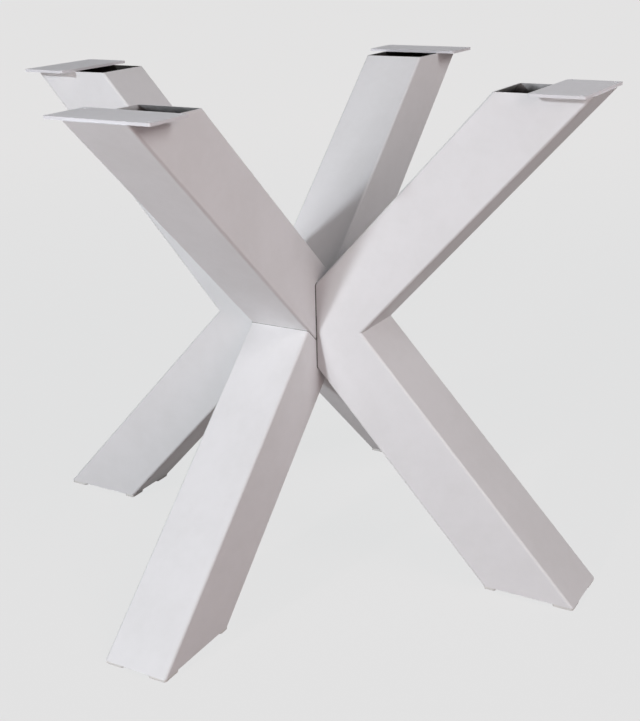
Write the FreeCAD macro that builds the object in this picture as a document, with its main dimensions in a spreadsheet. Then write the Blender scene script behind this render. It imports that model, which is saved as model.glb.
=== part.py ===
# Table base of white square steel tube, in millimetres, +Z up, standing on the floor at Z = 0.
# An X frame lies in the XZ plane. A V frame is welded to each of its flat sides, along -Y and +Y.
# Every arm is drawn in its own upright plane: "reach" runs out from the centre line, "height" up.
import FreeCAD, Part
import Sketcher
import os

SIZES = [
    ("tube_width", "100", "outside width of the square tube, both ways"),
    ("tube_wall", "2", "wall of the tube"),
    ("tube_inner_radius", "2", "radius of the tube's inside corners"),
    ("frame_height", "720", "lower tube ends to upper tube ends"),
    ("foot_reach", "458", "centre line to the outer edge of each tube end"),
    ("v_setback", "7", "X frame's side face to the crossing of a V's tube axes"),
    ("plate_length", "158", "top plate, across the arm"),
    ("plate_depth", "76", "top plate, along the arm's reach"),
    ("plate_thickness", "4", "top plate"),
    ("plate_rim_inset", "2", "outer edge of the tube end to the plate's outer edge"),
    ("plate_corner_radius", "3", "corners of the top plate"),
    ("screw_hole_diameter", "6", "holes for the screws into the table top"),
    ("screw_hole_inset", "8", "plate's edges to the centre of each hole"),
    ("sole_thickness", "4", "plate that closes a tube end at the floor"),
    ("sole_clearance", "0.2", "sole plate to the tube's inside, all round"),
    ("glide_height", "4", "floor to the tube end"),
    ("glide_width", "29", "glide under a corner of a foot, across the arm"),
    ("toe_glide_length", "31", "glide under an outer corner, along the arm's reach"),
    ("heel_glide_length", "18", "glide under an inner corner, along the arm's reach"),
    ("glide_inset", "0.5", "tube's outside to the sides of a glide"),
    ("glide_edge_radius", "1", "rounded lower rim of a glide"),
    ("peg_diameter", "6", "peg on top of a glide, pressed into the sole plate"),
    ("peg_clearance", "0.1", "peg to its hole, all round"),
]

# Values that follow from the sizes. A "slice" is the tube's width measured level, along the reach.
# A "corner" is the reach of the inner corner of the V between an upper and a lower arm.
# A "rim" is the tube's wall measured level, along the reach.
DERIVED = [
    ("bottom_height", "Sizes.glide_height"),
    ("middle_height", "Sizes.glide_height + Sizes.frame_height / 2"),
    ("top_height", "Sizes.glide_height + Sizes.frame_height"),
    ("outer_radius", "Sizes.tube_inner_radius + Sizes.tube_wall"),
    ("hollow_width", "Sizes.tube_width - 2 * Sizes.tube_wall"),
    ("sole_width", "Sizes.tube_width - 2 * Sizes.tube_wall - 2 * Sizes.sole_clearance"),
    ("x_cross", "0"),
    ("v_cross", "Sizes.tube_width / 2 + Sizes.v_setback"),
    ("x_lean", "atan2(Sizes.frame_height / 2; Sizes.foot_reach - x_cross)"
               " + asin(Sizes.tube_width / 2 / hypot(Sizes.foot_reach - x_cross; Sizes.frame_height / 2))"),
    ("v_lean", "atan2(Sizes.frame_height / 2; Sizes.foot_reach - v_cross)"
               " + asin(Sizes.tube_width / 2 / hypot(Sizes.foot_reach - v_cross; Sizes.frame_height / 2))"),
    ("x_slice", "Sizes.tube_width / sin(x_lean)"),
    ("v_slice", "Sizes.tube_width / sin(v_lean)"),
    ("x_corner", "x_cross + x_slice / 2"),
    ("v_corner", "v_cross + v_slice / 2"),
    ("x_rim", "Sizes.tube_wall / sin(x_lean)"),
    ("v_rim", "Sizes.tube_wall / sin(v_lean)"),
]

# Signs of an arm's rise in the rules
UP = "+"
DOWN = "-"

# Turn of each arm about the upright axis, and the frame that it belongs to
ARMS = {
    "right": (0.0, "x"),
    "back": (90.0, "v"),
    "left": (180.0, "x"),
    "front": (270.0, "v"),
}

SIDES = (-1, 1)

doc = FreeCAD.newDocument("table_base")


def make_sheet():
    """Writes the driving dimensions, one to a row."""
    sheet = doc.addObject("Spreadsheet::Sheet", "Sizes")
    for row, (name, value, note) in enumerate(SIZES, start=1):
        sheet.set(f"A{row}", note)
        sheet.set(f"B{row}", value)
        sheet.setAlias(f"B{row}", name)
    doc.recompute()
    return sheet


def make_derived():
    """Works out the values that follow from the driving dimensions."""
    values = doc.addObject("App::VarSet", "Derived")
    for name, rule in DERIVED:
        kind = "App::PropertyAngle" if name.endswith("_lean") else "App::PropertyFloat"
        values.addProperty(kind, name, "Derived")
        values.setExpression(name, rule)
    doc.recompute()
    return values


def number(rule):
    """Value of a rule now, for a sketch's first guess."""
    return float(derived.evalExpression(rule))


def new_body(name, turn):
    """Empty body, turned about the upright axis."""
    body = doc.addObject("PartDesign::Body", name)
    body.Label = name
    body.Placement = FreeCAD.Placement(FreeCAD.Vector(), FreeCAD.Rotation(FreeCAD.Vector(0, 0, 1), turn))
    return body


def new_sketch(body, plane, suffix):
    """Empty sketch on one of the body's own origin planes."""
    sketch = body.newObject("Sketcher::SketchObject", f"{body.Name}_{suffix}")
    support = [item for item in body.Origin.OriginFeatures if item.Role == plane][0]
    sketch.AttachmentSupport = [(support, "")]
    sketch.MapMode = "FlatFace"
    return sketch


def bind(sketch, constraint, rule):
    """Adds a constraint whose value follows a rule."""
    index = sketch.addConstraint(constraint)
    sketch.setExpression(f"Constraints[{index}]", rule)


def polygon(body, plane, suffix, corners):
    """Closed outline whose corners each follow two rules."""
    sketch = new_sketch(body, plane, suffix)
    points = [FreeCAD.Vector(number(across), number(along), 0) for across, along in corners]
    following = points[1:] + points[:1]
    sketch.addGeometry([Part.LineSegment(start, end) for start, end in zip(points, following)])
    for line, (across, along) in enumerate(corners):
        after = (line + 1) % len(corners)
        sketch.addConstraint(Sketcher.Constraint("Coincident", line, 2, after, 1))
        bind(sketch, Sketcher.Constraint("DistanceX", line, 1, points[line].x), across)
        bind(sketch, Sketcher.Constraint("DistanceY", line, 1, points[line].y), along)
    return sketch


def circles(body, suffix, centres, diameter):
    """Circles of one diameter in the body's level plane, whose centres each follow two rules."""
    sketch = new_sketch(body, "XY_Plane", suffix)
    for index, (across, along) in enumerate(centres):
        middle = FreeCAD.Vector(number(across), number(along), 0)
        sketch.addGeometry(Part.Circle(middle, FreeCAD.Vector(0, 0, 1), number(diameter) / 2))
        bind(sketch, Sketcher.Constraint("DistanceX", index, 3, middle.x), across)
        bind(sketch, Sketcher.Constraint("DistanceY", index, 3, middle.y), along)
        bind(sketch, Sketcher.Constraint("Diameter", index, number(diameter)), diameter)
    return sketch


def pad(body, sketch, length, symmetric=False):
    """Solid raised from a sketch, upwards or to both sides."""
    feature = body.newObject("PartDesign::Pad", f"{sketch.Name}_pad")
    feature.Profile = sketch
    feature.SideType = "Symmetric" if symmetric else "One side"
    feature.setExpression("Length", length)
    doc.recompute()
    return feature


def pocket(body, sketch, length=None):
    """Cut to both sides of a sketch over a length, or upwards right through; it has to cut something."""
    before = body.Shape.Volume
    feature = body.newObject("PartDesign::Pocket", f"{sketch.Name}_pocket")
    feature.Profile = sketch
    if length:
        feature.SideType = "Symmetric"
        feature.setExpression("Length", length)
    else:
        feature.Type = "ThroughAll"
        feature.Reversed = True
    doc.recompute()
    if body.Shape.Volume >= before:
        raise RuntimeError(f"{feature.Name} cuts nothing")
    return feature


def round_edges(body, base, suffix, radius, wanted):
    """Rounds the edges of a feature that pass a test."""
    names = [f"Edge{index}" for index, edge in enumerate(base.Shape.Edges, start=1) if wanted(edge)]
    if not names:
        raise RuntimeError(f"{body.Name} has no edges to round for {suffix}")
    feature = body.newObject("PartDesign::Fillet", f"{body.Name}_{suffix}")
    feature.Base = (base, names)
    feature.setExpression("Radius", radius)
    doc.recompute()
    return feature


def runs_along(edge, direction):
    """True for a straight edge that runs along a direction."""
    if edge.Curve.TypeId != "Part::GeomLine":
        return False
    straight = edge.tangentAt(edge.FirstParameter)
    return abs(straight.dot(direction)) > 1 - 1e-9


def axis_of(frame, rise):
    """Direction of an arm's tube in its own plane."""
    lean = f"Derived.{frame}_lean"
    return FreeCAD.Vector(number(f"cos({lean})"), 0, number(f"0 {rise} sin({lean})"))


def reach_at(frame, rise, height, inward):
    """Rule for the reach of a line along an arm, a level distance inward from its outer edge, at a height."""
    fall = f"({height} - Derived.middle_height) / tan(Derived.{frame}_lean)"
    return f"Derived.{frame}_corner - ({inward}) {rise} {fall}"


def hollow_corners(frame, rise, low, high):
    """Inside of a tube, run out past two heights so that it cuts clean through both ends."""
    lower = f"{low} - Sizes.tube_width"
    upper = f"{high} + Sizes.tube_width"
    near = f"Derived.{frame}_rim"
    far = f"Derived.{frame}_slice - Derived.{frame}_rim"
    return [
        (reach_at(frame, rise, lower, near), lower),
        (reach_at(frame, rise, upper, near), upper),
        (reach_at(frame, rise, upper, far), upper),
        (reach_at(frame, rise, lower, far), lower),
    ]


def make_tube(name, turn, frame, rise, outline, low, high):
    """Square tube with cut ends: its outline is drawn from the side, raised to both sides and hollowed."""
    body = new_body(name, turn)
    axis = axis_of(frame, rise)
    blank = pad(body, polygon(body, "XZ_Plane", "outline", outline), "Sizes.tube_width", symmetric=True)
    rounded = round_edges(body, blank, "outside", "Derived.outer_radius", lambda edge: runs_along(edge, axis))
    hollow = polygon(body, "XZ_Plane", "hollow", hollow_corners(frame, rise, low, high))
    bored = pocket(body, hollow, "Derived.hollow_width")
    inside = number("Derived.hollow_width / 2")

    def is_inside_corner(edge):
        return runs_along(edge, axis) and abs(abs(edge.CenterOfMass.y) - inside) < 1e-6

    round_edges(body, bored, "inside", "Sizes.tube_inner_radius", is_inside_corner)
    return body


def end_height(rise):
    """Height of the tube ends, up at the table top or down at the floor."""
    return "Derived.top_height" if rise == UP else "Derived.bottom_height"


def tube_end(frame, rise):
    """Outer and inner corner of a tube's level end."""
    height = end_height(rise)
    return [("Sizes.foot_reach", height), (f"Sizes.foot_reach - Derived.{frame}_slice", height)]


def make_through_tube():
    """Straight tube of the X frame, from the left top to the right foot."""
    low = "Derived.bottom_height"
    high = "Derived.top_height"
    across = "Derived.x_slice"
    outline = [
        (reach_at("x", DOWN, low, "0"), low),
        (reach_at("x", DOWN, high, "0"), high),
        (reach_at("x", DOWN, high, across), high),
        (reach_at("x", DOWN, low, across), low),
    ]
    return make_tube("through_tube", ARMS["right"][0], "x", DOWN, outline, low, high)


def make_x_arm(name, turn, rise):
    """Half tube of the X frame, cut to butt on the through tube's face."""
    tip = f"Derived.middle_height {rise} Derived.x_corner * tan(Derived.x_lean)"
    outline = tube_end("x", rise) + [("0", tip), ("Derived.x_corner", "Derived.middle_height")]
    heights = sorted(["Derived.middle_height", end_height(rise)], key=number)
    return make_tube(name, turn, "x", rise, outline, *heights)


def make_v_arm(name, turn, rise):
    """Half of a V: mitred to its partner at mid height and cut upright to butt on the X frame's side."""
    seat = "Sizes.tube_width / 2"
    climb = f"({seat} - Derived.v_corner + Derived.v_slice) * tan(Derived.v_lean)"
    outline = tube_end("v", rise) + [
        (seat, f"Derived.middle_height {rise} {climb}"),
        (seat, "Derived.middle_height"),
        ("Derived.v_corner", "Derived.middle_height"),
    ]
    heights = sorted(["Derived.middle_height", end_height(rise)], key=number)
    return make_tube(name, turn, "v", rise, outline, *heights)


def make_top_plate(name, turn):
    """Flat plate across the outer part of a tube mouth, with a screw hole in each corner."""
    body = new_body(name, turn)
    body.setExpression("Placement.Base.z", "Derived.top_height")
    outer = "Sizes.foot_reach - Sizes.plate_rim_inset"
    inner = f"{outer} - Sizes.plate_depth"
    half = "Sizes.plate_length / 2"
    corners = [(outer, half), (inner, half), (inner, f"-{half}"), (outer, f"-{half}")]
    blank = pad(body, polygon(body, "XY_Plane", "outline", corners), "Sizes.plate_thickness")
    upright = FreeCAD.Vector(0, 0, 1)
    round_edges(body, blank, "corners", "Sizes.plate_corner_radius", lambda edge: runs_along(edge, upright))
    inset = "Sizes.screw_hole_inset"
    rows = (f"{outer} - {inset}", f"{inner} + {inset}")
    centres = [(row, f"{side} * ({half} - {inset})") for row in rows for side in SIDES]
    pocket(body, circles(body, "holes", centres, "Sizes.screw_hole_diameter"))
    return body


def glide_spans(frame):
    """The four glides under a foot, toe first: rules for each one's inner and outer reach, and its side."""
    toe = "Sizes.foot_reach - Sizes.glide_inset"
    heel = f"Sizes.foot_reach - Derived.{frame}_slice + Sizes.glide_inset"
    reaches = [(f"{toe} - Sizes.toe_glide_length", toe), (heel, f"{heel} + Sizes.heel_glide_length")]
    return [(inner, outer, side) for inner, outer in reaches for side in SIDES]


def peg_centre(span):
    """Centre of a glide, where its peg stands."""
    inner, outer, side = span
    aside = "Sizes.tube_width / 2 - Sizes.glide_inset - Sizes.glide_width / 2"
    return (f"({inner} + {outer}) / 2", f"{side} * ({aside})")


def make_sole_plate(name, turn, frame):
    """Plate inside a tube's lower end, level with its rim, its edges slanted to follow the tube."""
    body = new_body(name, turn)
    low = "Derived.bottom_height"
    high = "Derived.bottom_height + Sizes.sole_thickness"
    slack = f"Derived.{frame}_rim + Sizes.sole_clearance / sin(Derived.{frame}_lean)"
    near = slack
    far = f"Derived.{frame}_slice - ({slack})"
    outline = [
        (reach_at(frame, DOWN, low, near), low),
        (reach_at(frame, DOWN, high, near), high),
        (reach_at(frame, DOWN, high, far), high),
        (reach_at(frame, DOWN, low, far), low),
    ]
    axis = axis_of(frame, DOWN)
    blank = pad(body, polygon(body, "XZ_Plane", "outline", outline), "Derived.sole_width", symmetric=True)
    round_edges(body, blank, "corners", "Sizes.tube_inner_radius", lambda edge: runs_along(edge, axis))
    hole = "Sizes.peg_diameter + 2 * Sizes.peg_clearance"
    centres = [peg_centre(span) for span in glide_spans(frame)]
    pocket(body, circles(body, "peg_holes", centres, hole))
    return body


def make_glide(name, turn, span):
    """Pad under one corner of a foot, level with the tube's sides, with a peg up into the sole plate."""
    body = new_body(name, turn)
    inner, outer, side = span
    flank = f"{side} * (Sizes.tube_width / 2 - Sizes.glide_inset)"
    within = f"{side} * (Sizes.tube_width / 2 - Sizes.glide_inset - Sizes.glide_width)"
    corners = [(outer, flank), (inner, flank), (inner, within), (outer, within)]
    slab = pad(body, polygon(body, "XY_Plane", "outline", corners), "Sizes.glide_height")
    upright = FreeCAD.Vector(0, 0, 1)

    def is_upright(edge):
        return runs_along(edge, upright)

    rounded = round_edges(body, slab, "corners", "Derived.outer_radius", is_upright)

    def is_lower_rim(edge):
        return abs(edge.BoundBox.ZMax) < 1e-6

    round_edges(body, rounded, "rim", "Sizes.glide_edge_radius", is_lower_rim)
    peg_top = "Sizes.glide_height + Sizes.sole_thickness"
    pad(body, circles(body, "peg", [peg_centre(span)], "Sizes.peg_diameter"), peg_top)
    return body


def make_parts():
    """Every piece of the table base."""
    parts = [make_through_tube()]
    parts.append(make_x_arm("left_lower_leg", ARMS["left"][0], DOWN))
    parts.append(make_x_arm("right_upper_leg", ARMS["right"][0], UP))
    for side in ("front", "back"):
        parts.append(make_v_arm(f"{side}_upper_leg", ARMS[side][0], UP))
        parts.append(make_v_arm(f"{side}_lower_leg", ARMS[side][0], DOWN))
    for side, (turn, frame) in ARMS.items():
        parts.append(make_top_plate(f"{side}_top_plate", turn))
        parts.append(make_sole_plate(f"{side}_sole_plate", turn, frame))
        for index, span in enumerate(glide_spans(frame), start=1):
            parts.append(make_glide(f"{side}_glide_{index}", turn, span))
    return parts


def check(parts):
    """Stops if any object failed or any piece is not one sound solid."""
    doc.recompute()
    for item in doc.Objects:
        if "Invalid" in item.State or "Error" in item.State:
            raise RuntimeError(f"{item.Name} failed: {item.State}")
    for body in parts:
        if body.Shape.isNull() or not body.Shape.isValid() or len(body.Shape.Solids) != 1:
            raise RuntimeError(f"{body.Label} is not one sound solid")


def export(parts):
    """Writes each piece to a file of its own."""
    os.makedirs("parts", exist_ok=True)
    for body in parts:
        body.Shape.exportStep(f"parts/{body.Label}.step")
        print(f"{body.Label}: {body.Shape.Volume / 1000:.1f} cm3")


make_sheet()
derived = make_derived()
pieces = make_parts()
check(pieces)
export(pieces)
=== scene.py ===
"""Looks of the white X-shaped table base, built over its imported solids.

The tubes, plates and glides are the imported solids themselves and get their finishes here. The fine joint
lines of the welded frame are added as new pieces. Lengths are in metres, +Z is up, and the base stands on
the floor at Z = 0 with its X frame in the XZ plane.
"""

import logging
import math
from dataclasses import dataclass
from enum import Enum

import bpy
import numpy as np
from mathutils import Matrix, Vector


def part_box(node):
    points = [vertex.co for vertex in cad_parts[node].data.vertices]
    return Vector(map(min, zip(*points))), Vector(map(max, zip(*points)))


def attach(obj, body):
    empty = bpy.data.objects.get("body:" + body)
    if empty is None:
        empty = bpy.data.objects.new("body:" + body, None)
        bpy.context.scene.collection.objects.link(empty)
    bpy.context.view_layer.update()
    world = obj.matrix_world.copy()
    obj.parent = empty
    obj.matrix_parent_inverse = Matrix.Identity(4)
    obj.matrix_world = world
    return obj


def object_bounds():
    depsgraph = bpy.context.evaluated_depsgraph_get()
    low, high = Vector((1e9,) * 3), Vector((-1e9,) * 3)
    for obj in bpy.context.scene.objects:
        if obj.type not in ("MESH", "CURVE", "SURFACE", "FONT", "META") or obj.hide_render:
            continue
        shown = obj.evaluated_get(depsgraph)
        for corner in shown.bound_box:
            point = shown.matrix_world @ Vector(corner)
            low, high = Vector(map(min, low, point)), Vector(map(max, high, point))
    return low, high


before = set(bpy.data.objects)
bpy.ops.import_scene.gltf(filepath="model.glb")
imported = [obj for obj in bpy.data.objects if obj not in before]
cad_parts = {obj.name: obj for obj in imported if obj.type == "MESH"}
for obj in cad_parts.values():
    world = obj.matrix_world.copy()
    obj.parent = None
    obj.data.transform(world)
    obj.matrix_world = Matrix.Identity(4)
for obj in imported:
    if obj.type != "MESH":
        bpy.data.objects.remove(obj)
CAD_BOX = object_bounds()

LOG = logging.getLogger("table_base")
PICTURE_WIDTH = 640
PICTURE_HEIGHT = 721
NOISE_MEAN = 0.5
RIGHT_ANGLE = 90.0

Colour = tuple[float, float, float]
Point = tuple[float, float, float]
Span = tuple[float, float]


@dataclass(frozen=True)
class Grain:
    """Even noise: its cells to the metre, how many finer layers it has and how strong these are."""

    cells: float
    layers: float
    strength: float


class Socket:
    """A shader socket, or a plain number, on which arithmetic adds Math nodes."""

    def __init__(self, sheet: "Sheet", link: bpy.types.NodeSocket | float) -> None:
        """Keeps the socket and the node sheet that it belongs to."""
        self.sheet = sheet
        self.link = link

    def _math(self, operation: str, first: object, second: object = 0.0) -> "Socket":
        """Adds one Math node and returns its value."""
        return self.sheet.node("ShaderNodeMath", {"operation": operation}, {0: first, 1: second})

    def __add__(self, other: object) -> "Socket":
        """Sum."""
        return self._math("ADD", self, other)

    def __sub__(self, other: object) -> "Socket":
        """Difference."""
        return self._math("SUBTRACT", self, other)

    def __rsub__(self, other: object) -> "Socket":
        """Difference, the other way round."""
        return self._math("SUBTRACT", other, self)

    def __mul__(self, other: object) -> "Socket":
        """Product."""
        return self._math("MULTIPLY", self, other)

    def __abs__(self) -> "Socket":
        """Size without sign."""
        return self._math("ABSOLUTE", self)

    def __lt__(self, other: object) -> "Socket":
        """One where this is smaller, and nought elsewhere."""
        return self._math("LESS_THAN", self, other)

    def larger(self, other: object) -> "Socket":
        """The larger of two values."""
        return self._math("MAXIMUM", self, other)

    def smaller(self, other: object) -> "Socket":
        """The smaller of two values."""
        return self._math("MINIMUM", self, other)

    __radd__ = __add__
    __rmul__ = __mul__


class Sheet:
    """The node tree of one material or of the world."""

    def __init__(self, tree: bpy.types.NodeTree) -> None:
        """Empties the tree so that every node in it is made here."""
        self.tree = tree
        tree.nodes.clear()

    def node(self, kind: str, settings: dict | None = None, inputs: dict | None = None,
             output: int | str = 0) -> Socket:
        """Adds any node.

        Args:
            kind: Blender's type name of the node.
            settings: properties set on the node before its sockets are filled.
            inputs: value or socket for each input, by its name or number.
            output: name or number of the output that is returned.

        Returns:
            The chosen output, or nought from a node that has none.
        """
        made = self.tree.nodes.new(kind)
        for name, value in (settings or {}).items():
            setattr(made, name, value)
        for name, value in (inputs or {}).items():
            self.feed(made.inputs[name], value)
        return Socket(self, made.outputs[output] if len(made.outputs) else 0.0)

    def feed(self, target: bpy.types.NodeSocket, value: object) -> None:
        """Links a socket to an input, or sets the input's own value.

        Args:
            target: input that is filled.
            value: socket, number, vector or colour; a colour of three numbers is made opaque.
        """
        source = value.link if isinstance(value, Socket) else value
        if isinstance(source, bpy.types.NodeSocket):
            self.tree.links.new(source, target)
        elif target.type == "RGBA" and len(source) == 3:
            target.default_value = (*source, 1.0)
        else:
            target.default_value = source

    def place(self) -> Socket:
        """Point on the piece in Object coordinates."""
        return self.node("ShaderNodeTexCoord", output="Object")

    def parts_of(self, vector: Socket) -> tuple[Socket, Socket, Socket]:
        """Takes a vector apart.

        Args:
            vector: vector to take apart.

        Returns:
            Its numbers along X, Y and Z.
        """
        split = self.node("ShaderNodeSeparateXYZ", inputs={0: vector})
        outputs = split.link.node.outputs
        return tuple(Socket(self, outputs[axis]) for axis in range(3))

    def along(self, vector: Socket, direction: Point) -> Socket:
        """Length of a vector along a fixed direction."""
        inputs = {0: vector, 1: direction}
        return self.node("ShaderNodeVectorMath", {"operation": "DOT_PRODUCT"}, inputs, "Value")

    def noise(self, where: Socket, grain: Grain) -> Socket:
        """Even noise between nought and one, about its mean."""
        inputs = {"Vector": where, "Scale": grain.cells, "Detail": grain.layers, "Roughness": grain.strength}
        return self.node("ShaderNodeTexNoise", {"noise_dimensions": "3D"}, inputs, "Fac")

    def ramp(self, value: Socket, span: Span) -> Socket:
        """Smooth step from nought at the span's start to one at its end."""
        inputs = {"Value": value, "From Min": span[0], "From Max": span[1], "To Min": 0.0, "To Max": 1.0}
        return self.node("ShaderNodeMapRange", {"interpolation_type": "SMOOTHSTEP"}, inputs, "Result")

    def blend(self, share: object, first: object, second: object) -> Socket:
        """Colour that goes from the first to the second as the share goes from nought to one."""
        return self.node("ShaderNodeMix", {"data_type": "RGBA"}, {0: share, 6: first, 7: second}, 2)

    def bump(self, height: Socket, depth: float) -> Socket:
        """Normal tilted by a height between nought and one that stands for a depth in metres."""
        inputs = {"Strength": 1.0, "Distance": depth, "Height": height}
        return self.node("ShaderNodeBump", inputs=inputs, output="Normal")

    def surface(self, sockets: dict) -> None:
        """Finishes the sheet with a principled shader and these inputs."""
        shader = self.node("ShaderNodeBsdfPrincipled", inputs=sockets)
        self.node("ShaderNodeOutputMaterial", inputs={"Surface": shader})


def new_material(name: str) -> tuple[bpy.types.Material, Sheet]:
    """Empty node material.

    Args:
        name: name of the finish.

    Returns:
        The material and its node sheet.
    """
    material = bpy.data.materials.new(name)
    material.use_nodes = True
    return material, Sheet(material.node_tree)


def new_piece(name: str, points: np.ndarray, faces: np.ndarray) -> bpy.types.Object:
    """Mesh object at the origin, put into the scene.

    Args:
        name: name of the piece and of its mesh.
        points: corners, one row of three numbers each.
        faces: numbers of the corners of each face, one row a face.

    Returns:
        The object.
    """
    mesh = bpy.data.meshes.new(name)
    mesh.from_pydata(points, [], faces)
    piece = bpy.data.objects.new(name, mesh)
    bpy.context.scene.collection.objects.link(piece)
    return piece


def dress(piece: bpy.types.Object, material: bpy.types.Material) -> None:
    """Gives every material slot of a piece the same finish.

    Args:
        piece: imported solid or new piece.
        material: its finish.
    """
    if not piece.material_slots:
        piece.data.materials.append(material)
    for slot in piece.material_slots:
        slot.material = material


class Rise(Enum):
    """Whether a tube climbs or falls as it leaves the middle of the base."""

    UP = 1.0
    DOWN = -1.0


class Side(Enum):
    """The four arms, each with the direction of its reach."""

    RIGHT = (1.0, 0.0)
    BACK = (0.0, 1.0)
    LEFT = (-1.0, 0.0)
    FRONT = (0.0, -1.0)

    @property
    def word(self) -> str:
        """The side's name as the nodes use it."""
        return self.name.lower()

    @property
    def in_x_frame(self) -> bool:
        """True for the two arms of the X frame."""
        return self.value[1] == 0.0


@dataclass(frozen=True)
class Tubing:
    """Sizes of the square tube and of the two kinds of frame."""

    width: float
    reach: float
    low: float
    high: float
    wall: float = 0.002
    setback: float = 0.007

    @classmethod
    def from_frame(cls) -> "Tubing":
        """Reads the sizes that the solids show.

        Returns:
            The sizes, with the wall and the setback of the V frames as they are named above.
        """
        leg_low, leg_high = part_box("front_upper_leg")
        through_low, through_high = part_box("through_tube")
        return cls(leg_high.x - leg_low.x, through_high.x, through_low.z, through_high.z)

    @property
    def half(self) -> float:
        """Half the tube's width."""
        return self.width / 2

    @property
    def middle(self) -> float:
        """Height of the crossing."""
        return (self.low + self.high) / 2

    def cross(self, side: Side) -> float:
        """Reach at which the axes of an arm's two tubes meet."""
        return 0.0 if side.in_x_frame else self.half + self.setback

    def lean(self, side: Side) -> float:
        """Lean of an arm's tubes, from the arm's reach, its rise and the tube's width.

        Args:
            side: arm that the tubes belong to.

        Returns:
            Angle above the floor in radians.
        """
        run = self.reach - self.cross(side)
        rise = (self.high - self.low) / 2
        return math.atan2(rise, run) + math.asin(self.half / math.hypot(run, rise))


@dataclass(frozen=True)
class PowderCoat:
    """White powder coat: a satin skin with a very fine peel and slight unevenness."""

    colour: Colour = (0.80, 0.80, 0.815)
    shade: Colour = (0.765, 0.765, 0.775)
    # Painted shade: the darker colour for the tubes' long edges, which tones down their highlight.
    edge: Colour = (0.73, 0.73, 0.74)
    roughness: float = 0.48
    shine: float = 0.25
    cloud: Grain = Grain(9.0, 3.0, 0.55)
    fine: Grain = Grain(70.0, 2.0, 0.6)
    cloud_share: float = 0.75
    patch_span: Span = (0.36, 0.68)
    cloud_swing: float = 0.1
    fine_swing: float = 0.16
    peel: Grain = Grain(520.0, 1.0, 0.4)
    grit: Grain = Grain(1900.0, 1.0, 0.5)
    peel_share: float = 0.7
    peel_depth: float = 0.00007

    def lay(self, sheet: Sheet, where: Socket) -> tuple[Socket, Socket, Socket]:
        """Coat alone, before edges and insides.

        Args:
            sheet: node sheet to draw on.
            where: point on the piece.

        Returns:
            Colour, roughness and normal.
        """
        cloud = sheet.noise(where, self.cloud)
        fine = sheet.noise(where, self.fine)
        patchy = sheet.ramp(self.cloud_share * cloud + (1.0 - self.cloud_share) * fine, self.patch_span)
        colour = sheet.blend(patchy, self.colour, self.shade)
        rough = (self.roughness + (fine - NOISE_MEAN) * self.fine_swing
                 + (cloud - NOISE_MEAN) * self.cloud_swing)
        peel = sheet.noise(where, self.peel)
        grit = sheet.noise(where, self.grit)
        normal = sheet.bump(self.peel_share * peel + (1.0 - self.peel_share) * grit, self.peel_depth)
        return colour, rough, normal

    def plate_material(self, name: str) -> bpy.types.Material:
        """Coat on a flat plate.

        Args:
            name: name of the finish.

        Returns:
            The material.
        """
        material, sheet = new_material(name)
        colour, rough, normal = self.lay(sheet, sheet.place())
        sheet.surface({"Base Color": colour, "Roughness": rough, "Normal": normal,
                       "Specular IOR Level": self.shine})
        return material


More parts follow.
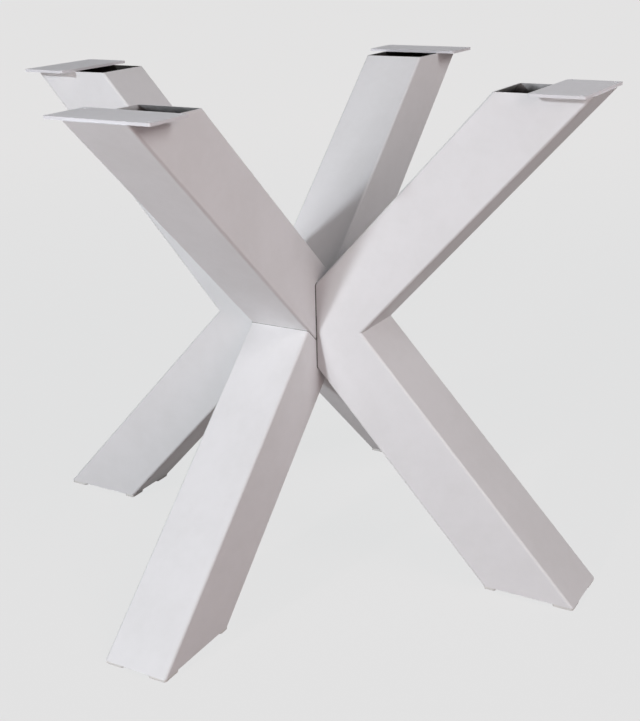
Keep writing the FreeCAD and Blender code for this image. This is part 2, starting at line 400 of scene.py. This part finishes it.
@dataclass(frozen=True)
class TubeFinish:
    """Coat on a tube: smoother and painted darker as shade on the long edges, and fading inside to near-black
    bare steel that is partly painted shade of the mouth.

    The edges' band starts and ends at two distances below the faces. A point counts as inside where it lies
    deeper than a share of the wall.
    """

    coat: PowderCoat
    tubing: Tubing
    edge_start: float = 0.0042
    edge_end: float = 0.0012
    edge_share: float = 0.8
    edge_polish: float = 0.06
    inside_share: float = 0.8
    fade_length: float = 0.05
    ragged: Grain = Grain(60.0, 4.0, 0.65)
    ragged_share: float = 0.4
    bare_span: Span = (0.15, 0.8)
    # Painted shade: the near-black steel stands in partly for the shadow deep inside the tube mouths.
    steel: Colour = (0.028, 0.027, 0.026)
    rust: Colour = (0.06, 0.05, 0.044)
    stain: Grain = Grain(22.0, 4.0, 0.6)
    stain_span: Span = (0.35, 0.7)
    bare_rough: float = 0.12
    bare_metal: float = 0.35

    def offsets(self, sheet: Sheet, where: Socket, side: Side, rise: Rise) -> tuple[Socket, Socket]:
        """Distances of a point from the tube's axis.

        Args:
            sheet: node sheet to draw on.
            where: point on the piece.
            side: arm that the tube belongs to.
            rise: which way the tube goes as it leaves the middle.

        Returns:
            Distance across, in the arm's upright plane, and distance aside, out of that plane.
        """
        lean = self.tubing.lean(side)
        out_x, out_y = side.value
        fall = -rise.value * math.sin(lean)
        upright = math.cos(lean)
        middle = fall * self.tubing.cross(side) + upright * self.tubing.middle
        across = abs(sheet.along(where, (out_x * fall, out_y * fall, upright)) - middle)
        aside = abs(sheet.along(where, (out_y, -out_x, 0.0)))
        return across, aside

    def bareness(self, sheet: Sheet, where: Socket, offset: Socket, coated: float) -> Socket:
        """Share of bare, near-black steel, with a ragged border to the coat; its darkness deeper in is partly
        painted shade of the mouth.

        Args:
            sheet: node sheet to draw on.
            where: point on the piece.
            offset: the larger of the point's distances from the axis: half the tube's width on the outside,
                and less by the wall on the inside.
            coated: depth below the mouth at which the coat begins to fade, negative where it has begun above.

        Returns:
            One on bare steel and nought on the coat.
        """
        inside = offset < (self.tubing.half - self.tubing.wall * self.inside_share)
        _, _, height = sheet.parts_of(where)
        depth = sheet.ramp(self.tubing.high - height, (coated, coated + self.fade_length))
        ragged = (sheet.noise(where, self.ragged) - NOISE_MEAN) * self.ragged_share
        return inside * sheet.ramp(depth + ragged, self.bare_span)

    def material(self, name: str, side: Side, rise: Rise, coated: float) -> bpy.types.Material:
        """Finish of one tube.

        Args:
            name: name of the finish.
            side: arm that the tube belongs to.
            rise: which way the tube goes as it leaves the middle.
            coated: depth below the mouth at which the coat inside begins to fade.

        Returns:
            The material.
        """
        material, sheet = new_material(name)
        where = sheet.place()
        across, aside = self.offsets(sheet, where, side, rise)
        colour, rough, normal = self.coat.lay(sheet, where)
        # Painted shade: the long edges blend towards a darker colour to tone down their highlight; the lower
        # roughness there is the smoother coat.
        band = (self.tubing.half - self.edge_start, self.tubing.half - self.edge_end)
        edge = sheet.ramp(across.smaller(aside), band)
        colour = sheet.blend(edge * self.edge_share, colour, self.coat.edge)
        rough = rough - edge * self.edge_polish

        # Painted shade: deeper in, the inside blends to near-black steel, which stands partly for the shadow
        # inside the mouth.
        bare = self.bareness(sheet, where, across.larger(aside), coated)
        stain = sheet.ramp(sheet.noise(where, self.stain), self.stain_span)
        metal = sheet.blend(stain, self.steel, self.rust)
        sheet.surface({"Base Color": sheet.blend(bare, colour, metal),
                       "Roughness": rough + bare * self.bare_rough,
                       "Metallic": bare * self.bare_metal,
                       "Normal": normal,
                       "Specular IOR Level": self.coat.shine})
        return material


@dataclass(frozen=True)
class SeamShadow:
    """Dull grey of the fine line where two tubes meet, painted as the shadow in the seam's crease."""

    colour: Colour
    pale: Colour
    roughness: float = 0.7
    patches: Grain = Grain(130.0, 3.0, 0.6)
    patch_span: Span = (0.4, 0.65)
    grit: Grain = Grain(1500.0, 2.0, 0.5)
    grit_depth: float = 0.0001

    def material(self, name: str) -> bpy.types.Material:
        """Finish of a joint line, painted as the seam's shadow.

        Args:
            name: name of the finish.

        Returns:
            The material.
        """
        material, sheet = new_material(name)
        where = sheet.place()
        patchy = sheet.ramp(sheet.noise(where, self.patches), self.patch_span)
        grit = sheet.noise(where, self.grit)
        sheet.surface({"Base Color": sheet.blend(patchy, self.colour, self.pale),
                       "Roughness": self.roughness,
                       "Normal": sheet.bump(grit, self.grit_depth)})
        return material


@dataclass(frozen=True)
class GlidePlastic:
    """Pale moulded plastic with a fine spark texture, a little darker towards the floor."""

    colour: Colour = (0.74, 0.735, 0.715)
    low_colour: Colour = (0.56, 0.55, 0.53)
    height: float = 0.004
    low_reach: float = 0.6
    low_share: float = 0.7
    roughness: float = 0.52
    cloud: Grain = Grain(55.0, 3.0, 0.6)
    cloud_swing: float = 0.2
    spark: Grain = Grain(2600.0, 2.0, 0.55)
    spark_depth: float = 0.00005

    def material(self, name: str) -> bpy.types.Material:
        """Finish of a glide.

        Args:
            name: name of the finish.

        Returns:
            The material.
        """
        material, sheet = new_material(name)
        where = sheet.place()
        _, _, height = sheet.parts_of(where)
        cloud = sheet.noise(where, self.cloud) - NOISE_MEAN
        spark = sheet.noise(where, self.spark)
        # Darker towards the floor, over the lowest part of the glide's height.
        low = 1.0 - sheet.ramp(height + cloud * self.height, (0.0, self.height * self.low_reach))
        sheet.surface({"Base Color": sheet.blend(low * self.low_share, self.colour, self.low_colour),
                       "Roughness": self.roughness + cloud * self.cloud_swing,
                       "Normal": sheet.bump(spark, self.spark_depth)})
        return material


@dataclass(frozen=True)
class JointLoop:
    """A thin round bead along the closed outline where a tube end meets another tube's face."""

    name: str
    centre: Point
    across: Point
    along: Point
    half_across: float
    half_along: float
    corner: float
    bead: float
    steps: int = 8
    around: int = 8

    def points(self) -> np.ndarray:
        """Bead as a grid of points.

        The outline is a rounded rectangle: at an angle t it stands at its quarter's corner centre plus the
        corner radius along (cos t, sin t). The bead's circle, at an angle s, adds its radius times cos s
        along that same outward direction and sin s along the outline's normal.

        Returns:
            Array of outline steps by bead steps by 3.
        """
        quarters = np.arange(4) * np.pi / 2
        bend = np.linspace(0.0, np.pi / 2, self.steps)
        turn = (quarters[:, None] + bend[None, :]).ravel()
        mid = np.repeat(quarters + np.pi / 4, self.steps)
        first, second = np.array(self.across), np.array(self.along)
        normal = np.cross(first, second)
        outward = np.cos(turn)[:, None] * first + np.sin(turn)[:, None] * second
        seat = (np.sign(np.cos(mid))[:, None] * first * (self.half_across - self.corner)
                + np.sign(np.sin(mid))[:, None] * second * (self.half_along - self.corner))
        line = np.array(self.centre) + seat + self.corner * outward
        circle = np.arange(self.around) * 2 * np.pi / self.around
        section = (np.cos(circle)[None, :, None] * outward[:, None, :]
                   + np.sin(circle)[None, :, None] * normal)
        return line[:, None, :] + self.bead * section

    def build(self, material: bpy.types.Material) -> bpy.types.Object:
        """Makes the bead, closed both ways, with its faces outwards.

        Args:
            material: finish of the line.

        Returns:
            The piece.
        """
        grid = self.points()
        rows, columns = grid.shape[:2]
        row, column = np.meshgrid(np.arange(rows), np.arange(columns), indexing="ij")
        next_row, next_column = (row + 1) % rows, (column + 1) % columns
        faces = np.stack([row * columns + column, next_row * columns + column,
                          next_row * columns + next_column, row * columns + next_column], axis=-1)
        piece = new_piece(self.name, grid.reshape(-1, 3), faces.reshape(-1, 4))
        piece.data.shade_smooth()
        dress(piece, material)
        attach(piece, "root")
        return piece


@dataclass
class TubeFrame:
    """The seven tubes of the welded frame and the fine lines at their joints."""

    tubing: Tubing
    finish: TubeFinish
    seat_shadow: SeamShadow
    butt_shadow: SeamShadow
    seat_bead: float = 0.0011
    butt_bead: float = 0.0006
    corner: float = 0.004

    def tubes(self) -> dict[str, tuple[Side, Rise, float]]:
        """Arm, rise and coated depth of each tube by its node; the depths also set where the painted shade
        inside each mouth begins.
        """
        return {
            "through_tube": (Side.RIGHT, Rise.DOWN, -0.02),
            "left_lower_leg": (Side.LEFT, Rise.DOWN, 0.0),
            "right_upper_leg": (Side.RIGHT, Rise.UP, -0.035),
            "front_upper_leg": (Side.FRONT, Rise.UP, -0.022),
            "front_lower_leg": (Side.FRONT, Rise.DOWN, 0.0),
            "back_upper_leg": (Side.BACK, Rise.UP, -0.045),
            "back_lower_leg": (Side.BACK, Rise.DOWN, 0.0),
        }

    def paint(self) -> None:
        """Dresses every tube in its own copy of the coat, set to the tube's axis."""
        for node, (side, rise, coated) in self.tubes().items():
            dress(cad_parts[node], self.finish.material(f"coat_{node}", side, rise, coated))
            LOG.info("painted %s", node)

    def seat_loop(self, side: Side) -> JointLoop:
        """Line round a V frame's seat on the X frame's flat side.

        Args:
            side: arm of the V frame.

        Returns:
            The line, not yet built.
        """
        lean = self.tubing.lean(side)
        half = self.tubing.half
        inner = self.tubing.cross(side) - half / math.sin(lean)
        rise = (half - inner) * math.tan(lean)
        centre = (0.0, side.value[1] * half, self.tubing.middle)
        return JointLoop(f"{side.word}_seat_line", centre, (1.0, 0.0, 0.0), (0.0, 0.0, 1.0), half, rise,
                         self.corner, self.seat_bead)

    def butt_loop(self, side: Side, rise: Rise) -> JointLoop:
        """Line round a half tube's end on the through tube's face.

        Args:
            side: arm of the half tube.
            rise: which way the half tube goes.

        Returns:
            The line, not yet built.
        """
        lean = self.tubing.lean(side)
        half = self.tubing.half
        corner = half / math.sin(lean)
        tip = corner * math.tan(lean)
        length = math.hypot(corner, tip)
        out = side.value[0]
        centre = (out * corner / 2, 0.0, self.tubing.middle + rise.value * tip / 2)
        slope = (-out * corner / length, 0.0, rise.value * tip / length)
        return JointLoop(f"{side.word}_butt_line", centre, (0.0, 1.0, 0.0), slope, half, length / 2,
                         self.corner, self.butt_bead)

    def join(self) -> None:
        """Adds the joint lines."""
        seat = self.seat_shadow.material("seat_line")
        butt = self.butt_shadow.material("butt_line")
        loops = [(self.seat_loop(Side.FRONT), seat), (self.seat_loop(Side.BACK), seat),
                 (self.butt_loop(Side.LEFT, Rise.DOWN), butt), (self.butt_loop(Side.RIGHT, Rise.UP), butt)]
        for loop, shade in loops:
            loop.build(shade)
            LOG.info("added %s", loop.name)


@dataclass
class TopPlates:
    """The four flat plates that take the screws into the table top."""

    coat: PowderCoat

    def paint(self) -> None:
        """Dresses each plate in the darker, bluer plate coat, painted shade of the flat tops."""
        finish = self.coat.plate_material("coat_top_plate")
        for side in Side:
            dress(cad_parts[f"{side.word}_top_plate"], finish)
            LOG.info("painted %s top plate", side.word)


@dataclass
class Feet:
    """Sole plates in the lower tube ends and the glides under their corners."""

    coat: PowderCoat
    plastic: GlidePlastic
    glides: int = 4

    def paint(self) -> None:
        """Dresses each sole plate and glide."""
        sole = self.coat.plate_material("coat_sole_plate")
        glide = self.plastic.material("glide_plastic")
        for side in Side:
            dress(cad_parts[f"{side.word}_sole_plate"], sole)
            for index in range(1, self.glides + 1):
                dress(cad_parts[f"{side.word}_glide_{index}"], glide)
            LOG.info("painted %s foot", side.word)


@dataclass(frozen=True)
class Viewpoint:
    """Camera of the photograph: where it stands, its turns in degrees, and its lens in picture widths."""

    place: Point = (-1.5288, -0.9139, 0.9328)
    heading: float = 30.06
    pitch: float = -16.41
    roll: float = -1.29
    focal: float = 1213.35 / PICTURE_WIDTH
    centre_row: float = 285.0
    sensor: float = 36.0
    far_clip: float = 200.0

    def build(self) -> None:
        """Adds the camera, turned by its heading, its pitch and its roll."""
        lens = bpy.data.cameras.new("camera")
        lens.sensor_fit = "HORIZONTAL"
        lens.sensor_width = self.sensor
        lens.lens = self.focal * self.sensor
        lens.shift_y = (self.centre_row - PICTURE_HEIGHT / 2) / PICTURE_WIDTH
        lens.clip_end = self.far_clip
        camera = bpy.data.objects.new("camera", lens)
        turn = (Matrix.Rotation(math.radians(self.heading - RIGHT_ANGLE), 4, "Z")
                @ Matrix.Rotation(math.radians(RIGHT_ANGLE + self.pitch), 4, "X")
                @ Matrix.Rotation(math.radians(self.roll), 4, "Z"))
        camera.matrix_world = Matrix.Translation(self.place) @ turn
        bpy.context.scene.collection.objects.link(camera)
        bpy.context.scene.camera = camera


@dataclass(frozen=True)
class Lamp:
    """Square softbox that faces the middle of the base."""

    name: str
    place: Point
    power: float
    size: float
    colour: Colour

    def build(self) -> None:
        """Adds the lamp, turned to the middle of the solids' box."""
        data = bpy.data.lights.new(self.name, "AREA")
        data.shape = "SQUARE"
        data.size = self.size
        data.energy = self.power
        data.color = self.colour
        lamp = bpy.data.objects.new(self.name, data)
        place = Matrix.Translation(self.place)
        middle = (CAD_BOX[0] + CAD_BOX[1]) / 2
        aim = (middle - place.translation).to_track_quat("-Z", "Y").to_matrix().to_4x4()
        lamp.matrix_world = place @ aim
        bpy.context.scene.collection.objects.link(lamp)


@dataclass
class Studio:
    """Plain pale floor, four softboxes and soft light from behind.

    A small key lamp stands on the left above a low soft one, and two wide lamps stand in front. Floor and
    background are shown pale to the camera and in gloss. Other rays meet a darker floor and the light of the
    surroundings.
    """

    pale: Colour = (0.7605, 0.7605, 0.7605)
    near_floor: Colour = (0.914, 0.924, 0.927)
    far_floor: Colour = (0.957, 0.9535, 0.953)
    floor_fade: Span = (0.4, 4.5)
    floor_albedo: Colour = (0.25, 0.18, 0.17)
    floor_radius: float = 40.0
    floor_steps: int = 96
    shown_share: float = 0.8
    front_light: Colour = (0.02, 0.018, 0.018)
    rear_light: Colour = (1.0, 0.965, 0.955)
    rear_way: Point = (0.75, 0.66, 0.0)
    rear_fade: Span = (0.0, 0.8)
    top_light: Colour = (0.03, 0.03, 0.03)
    top_fade: Span = (0.1, 0.7)
    lamps: tuple[Lamp, ...] = (
        Lamp("key_softbox", (-3.6, 0.90, 1.82), 65.0, 0.24, (0.895, 0.955, 1.0)),
        Lamp("right_softbox", (-0.25, -2.75, 2.6), 47.5, 1.8, (1.0, 0.98, 0.985)),
        Lamp("front_softbox", (-2.2, -2.6, 1.6), 24.0, 1.4, (1.0, 0.82, 0.80)),
        Lamp("left_softbox", (-3.85, 0.9, 0.25), 50.0, 0.9, (0.97, 0.985, 0.985)),
    )

    def shown_rays(self, sheet: Sheet) -> Socket:
        """Picks the rays that show the background.

        Args:
            sheet: node sheet to draw on.

        Returns:
            One for rays from the camera, in gloss and through glass, and nought for the others.
        """
        path = sheet.node("ShaderNodeLightPath").link.node.outputs
        shown = Socket(sheet, path["Is Camera Ray"]) + Socket(sheet, path["Is Glossy Ray"])
        return (shown + Socket(sheet, path["Is Transmission Ray"])).smaller(1.0)

    def floor(self) -> None:
        """Round floor: one flat face whose rim is a circle."""
        turn = np.arange(self.floor_steps) * 2 * np.pi / self.floor_steps
        rim = self.floor_radius * np.stack([np.cos(turn), np.sin(turn), np.zeros_like(turn)], axis=-1)
        piece = new_piece("floor", rim, np.arange(self.floor_steps)[None, :])
        material, sheet = new_material("floor")
        lit = sheet.node("ShaderNodeBsdfDiffuse", inputs={"Color": self.floor_albedo})
        away = sheet.node("ShaderNodeVectorMath", {"operation": "LENGTH"}, {0: sheet.place()}, "Value")
        shown = sheet.blend(sheet.ramp(away, self.floor_fade), self.near_floor, self.far_floor)
        glow = sheet.node("ShaderNodeEmission", inputs={"Color": shown, "Strength": 1.0})
        share = self.shown_rays(sheet) * self.shown_share
        mixed = sheet.node("ShaderNodeMixShader", inputs={0: share, 1: lit, 2: glow})
        sheet.node("ShaderNodeOutputMaterial", inputs={"Surface": mixed})
        dress(piece, material)

    def surroundings(self) -> None:
        """World light, faint in front and above and soft behind, with a pale background where it shows."""
        world = bpy.data.worlds.new("studio")
        world.use_nodes = True
        sheet = Sheet(world.node_tree)
        way = sheet.node("ShaderNodeTexCoord", output="Generated")
        _, _, upward = sheet.parts_of(way)
        behind = sheet.ramp(sheet.along(way, self.rear_way), self.rear_fade)
        level = sheet.blend(behind, self.front_light, self.rear_light)
        light = sheet.blend(sheet.ramp(upward, self.top_fade), level, self.top_light)
        shown = sheet.blend(self.shown_rays(sheet), light, self.pale)
        glow = sheet.node("ShaderNodeBackground", inputs={"Color": shown, "Strength": 1.0})
        sheet.node("ShaderNodeOutputWorld", inputs={"Surface": glow})
        bpy.context.scene.world = world

    def build(self) -> None:
        """Sets the stage."""
        self.floor()
        self.surroundings()
        for lamp in self.lamps:
            lamp.build()
        bpy.context.scene.view_settings.view_transform = "Standard"


def main() -> None:
    """Builds and dresses the table base, then sets the studio and the camera."""
    logging.basicConfig(level=logging.INFO, format="%(name)s: %(message)s")
    tubing = Tubing.from_frame()
    coat = PowderCoat()
    # Painted shadow: the near-black and the paler grey lines stand for the shadow in the seams' creases.
    dark_seam_shadow = SeamShadow((0.07, 0.068, 0.066), (0.15, 0.145, 0.14))
    pale_seam_shadow = SeamShadow((0.23, 0.22, 0.215), (0.38, 0.37, 0.365))
    tubes = TubeFrame(tubing, TubeFinish(coat, tubing), dark_seam_shadow, pale_seam_shadow)
    tubes.paint()
    tubes.join()
    # Painted shade: the top plates get a darker, bluer copy of the white coat for the weaker light on their
    # flat tops.
    shaded_plate_coat = PowderCoat(colour=(0.755, 0.755, 0.79), shade=(0.725, 0.725, 0.75), roughness=0.5)
    TopPlates(shaded_plate_coat).paint()
    Feet(coat, GlidePlastic()).paint()
    Studio().build()
    Viewpoint().build()


if __name__ == "__main__":
    main()
